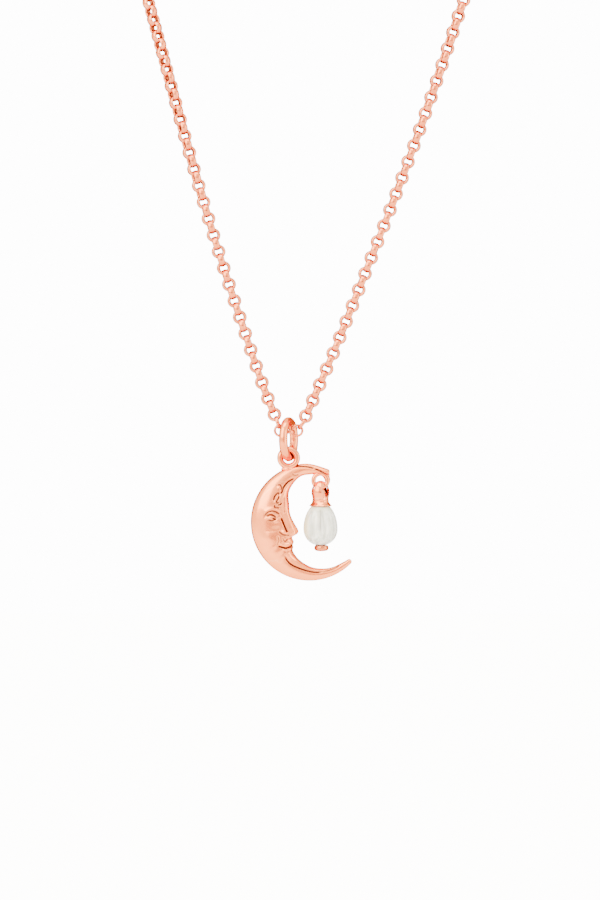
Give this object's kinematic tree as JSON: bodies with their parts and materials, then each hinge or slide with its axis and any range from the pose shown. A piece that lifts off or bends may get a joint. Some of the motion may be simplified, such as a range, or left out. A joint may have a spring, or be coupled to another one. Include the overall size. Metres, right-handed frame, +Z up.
{
  "type": "pendant necklace",
  "caption": "Crescent moon pendant with a face in profile and a drop pearl in its bay, hung by an oval bail on a belcher chain with a bolt ring clasp.",
  "frame": {"origin": "at the nape, in the middle of the clasp hardware, where the neck holds the necklace up", "axes": "+X to the right as seen from the front, +Y to the back, +Z up"},
  "size_m": [0.0894, 0.0261, 0.219],
  "materials": {
    "rose_gold": "high polish",
    "pearl": "nacre lustre",
    "spring_steel": "drawn wire"
  },
  "bodies": {
    "chain": {"chain_link_1": "rose_gold", "chain_link_2": "rose_gold", "chain_link_3": "rose_gold", "chain_link_4": "rose_gold", "chain_link_5": "rose_gold", "chain_left": "rose_gold", "chain_right": "rose_gold", "end_link_left": "rose_gold", "end_link_right": "rose_gold", "jump_ring": "rose_gold", "end_ring": "rose_gold", "clasp_body": "rose_gold", "clasp_spring": "spring_steel"},
    "bail": {"bail_ring": "rose_gold"},
    "moon": {"moon_body": "rose_gold", "moon_eye": "rose_gold", "horn_ring": "rose_gold"},
    "drop": {"drop_bail": "rose_gold", "pearl_cap": "rose_gold", "head_pin": "rose_gold"},
    "pearl": {"pearl": "pearl"},
    "bolt": {"clasp_bolt": "rose_gold"}
  },
  "joints": [
    {"name": "bail_swing", "type": "hinge", "parent": "chain", "child": "bail", "pos_m": [-0.0029, -0.021, -0.18821], "axis": [1, 0, 0], "range_deg": [-60, 60]},
    {"name": "moon_swing", "type": "hinge", "parent": "bail", "child": "moon", "pos_m": [-0.0029, -0.021, -0.19276], "axis": [0, 1, 0], "range_deg": [-50, 50]},
    {"name": "drop_swing", "type": "hinge", "parent": "moon", "child": "drop", "pos_m": [0.0029, -0.021, -0.19833], "axis": [1, 0, 0], "range_deg": [-75, 75]},
    {"name": "pearl_spin", "type": "hinge", "parent": "drop", "child": "pearl", "pos_m": [0.0029, -0.021, -0.20483], "axis": [0, 0, 1], "continuous": true},
    {"name": "bolt_slide", "type": "hinge", "parent": "chain", "child": "bolt", "pos_m": [0.00135, 0, 0], "axis": [0, -1, 0], "range_deg": [0, 48], "stiffness_Nm_per_rad": 0.001, "springref_deg": -28.65, "deforming": ["clasp_spring"]}
  ]
}
